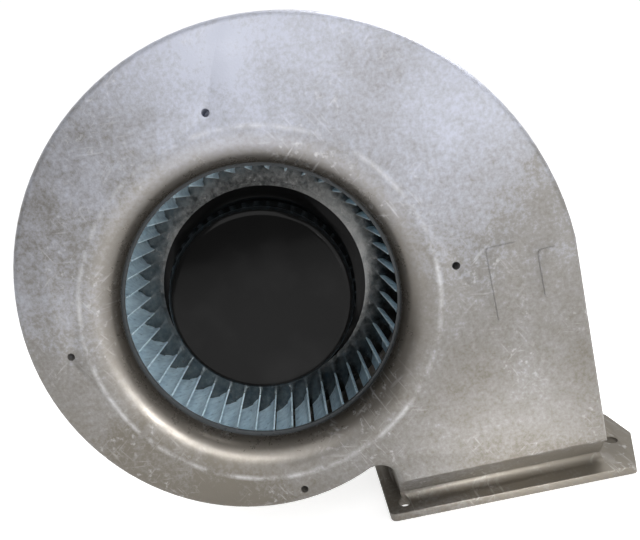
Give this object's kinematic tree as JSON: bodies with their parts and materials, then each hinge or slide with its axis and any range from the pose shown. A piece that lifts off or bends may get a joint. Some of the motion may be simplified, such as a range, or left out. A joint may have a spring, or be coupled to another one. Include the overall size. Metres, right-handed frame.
{
  "type": "dc blower fan",
  "caption": "Centrifugal DC blower: die-cast scroll housing with a bell-mouth inlet, flanged side outlet and a forward-curved drum impeller on an external-rotor motor.",
  "frame": {"origin": "centre of the inlet mounting hole circle, on the shaft axis at the inlet face", "axes": "-Y out of the inlet along the shaft, -Z out of the outlet flange, +X towards the scroll's straight outlet side"},
  "size_m": [0.2588, 0.0912, 0.2255],
  "materials": {
    "cast_aluminium": "bare die casting, mottled grey with scuffs and bright edges",
    "galvanised_steel": "galvanised sheet, blue-grey, semi-bright",
    "bright_galvanised": "smooth galvanised sheet, near mirror-bright",
    "black_enamel": "glossy black enamel",
    "zinc_steel": "zinc plated",
    "motor_aluminium": "plain die casting",
    "black_rubber": "matte",
    "lamination_steel": "oiled laminations",
    "ivory_plastic": "satin",
    "enamelled_copper": "varnished copper wire",
    "red_insulation": "satin",
    "bearing_steel": "ground",
    "green_laminate": "solder resist",
    "capacitor_sleeve": "shrink sleeve",
    "black_epoxy": "matte",
    "black_plastic": "fine texture",
    "tinned_brass": "tinned",
    "ferrite": "pressed ferrite",
    "brass": "turned",
    "ground_steel": "ground",
    "spring_steel": "blackened"
  },
  "bodies": {
    "housing": {"scroll_housing": "cast_aluminium", "rear_cover": "cast_aluminium", "rear_cover_screws": "zinc_steel", "motor_gasket": "black_rubber", "motor_flange": "motor_aluminium", "motor_flange_screws": "zinc_steel", "stator_core": "lamination_steel", "stator_insulators": "ivory_plastic", "stator_coils": "enamelled_copper", "winding_leads": "red_insulation", "bearing_outer_rings": "bearing_steel", "bearing_balls": "bearing_steel", "circuit_board": "green_laminate", "board_screws": "zinc_steel", "filter_capacitors": "capacitor_sleeve", "controller_chips": "black_epoxy", "connector_header": "black_plastic", "connector_pins": "tinned_brass", "electronics_cover": "black_plastic", "electronics_cover_screws": "zinc_steel"},
    "impeller": {"bearing_inner_rings": "bearing_steel", "rotor_cup": "black_enamel", "magnet_ring": "ferrite", "rotor_bush": "brass", "shaft": "ground_steel", "bearing_spacer": "brass", "preload_washer": "ground_steel", "shaft_clip": "spring_steel", "impeller_disc": "bright_galvanised", "impeller_blades": "galvanised_steel", "impeller_front_ring": "galvanised_steel"}
  },
  "joints": [
    {"name": "impeller_spin", "type": "hinge", "parent": "housing", "child": "impeller", "pos_m": [0, 0, 0], "axis": [0, 1, 0], "continuous": true}
  ]
}
